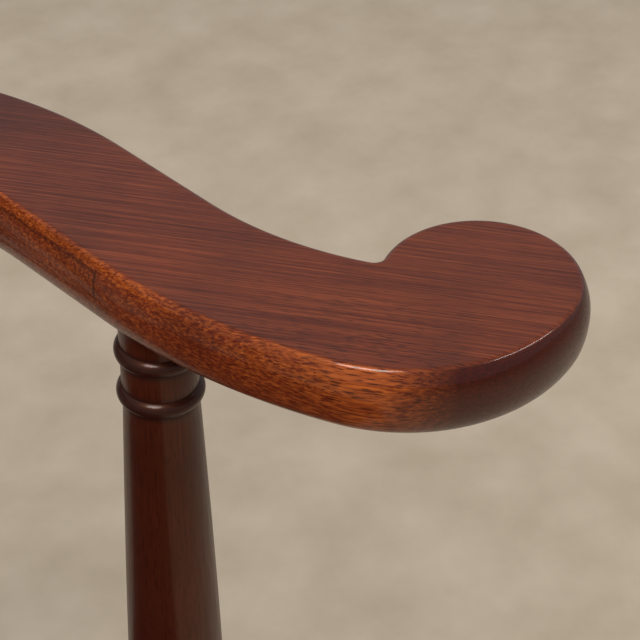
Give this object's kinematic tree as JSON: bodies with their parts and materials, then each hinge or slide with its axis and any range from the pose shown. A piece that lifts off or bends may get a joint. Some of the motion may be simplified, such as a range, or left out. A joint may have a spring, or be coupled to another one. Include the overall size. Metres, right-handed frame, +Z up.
{
  "type": "corner chair",
  "caption": "Corner chair in polished mahogany with a flat horseshoe arm that ends in round scrolls, turned columns, pierced splats, a raised crest and a lift-out padded seat.",
  "frame": {"origin": "on the floor, under the middle of the chair's box, which is also the middle of the seat frame", "axes": "+Z up, the chair faces -Y with one leg in front, +X is the sitter's left"},
  "size_m": [0.7758, 0.6048, 0.788],
  "materials": {
    "mahogany": "dark red-brown mahogany under gloss lacquer",
    "pale_wood": "plain unfinished beech",
    "brass": "dull old brass",
    "webbing": "woven jute webbing",
    "hessian": "open plain-woven hessian",
    "stuffing": "wadding over hair",
    "seat_fabric": "woven upholstery cloth",
    "tack_steel": "blued steel",
    "dust_cloth": "thin black cloth"
  },
  "bodies": {
    "chair": {"front_leg": "mahogany", "right_post": "mahogany", "back_post": "mahogany", "left_post": "mahogany", "front_right_rail": "mahogany", "back_right_rail": "mahogany", "back_left_rail": "mahogany", "front_left_rail": "mahogany", "side_stretcher": "mahogany", "middle_stretcher": "mahogany", "rail_pegs": "mahogany", "right_shoe": "mahogany", "left_shoe": "mahogany", "right_splat": "mahogany", "left_splat": "mahogany", "right_hand_piece": "mahogany", "left_hand_piece": "mahogany", "right_arm_back": "mahogany", "left_arm_back": "mahogany", "crest": "mahogany", "corner_blocks": "pale_wood", "lap_dowels": "pale_wood", "block_screws": "brass", "crest_screws": "brass"},
    "slip_seat": {"seat_bar_front_right": "pale_wood", "seat_bar_back_right": "pale_wood", "seat_bar_back_left": "pale_wood", "seat_bar_front_left": "pale_wood", "webbing_lengthways": "webbing", "webbing_crossways": "webbing", "hessian": "hessian", "seat_stuffing": "stuffing", "seat_cover": "seat_fabric", "cover_tacks": "tack_steel", "dust_cover": "dust_cloth"}
  },
  "joints": [
    {"name": "seat_lift", "type": "slide", "parent": "chair", "child": "slip_seat", "axis": [0, 0, 1], "range_m": [0, 0.09]}
  ]
}
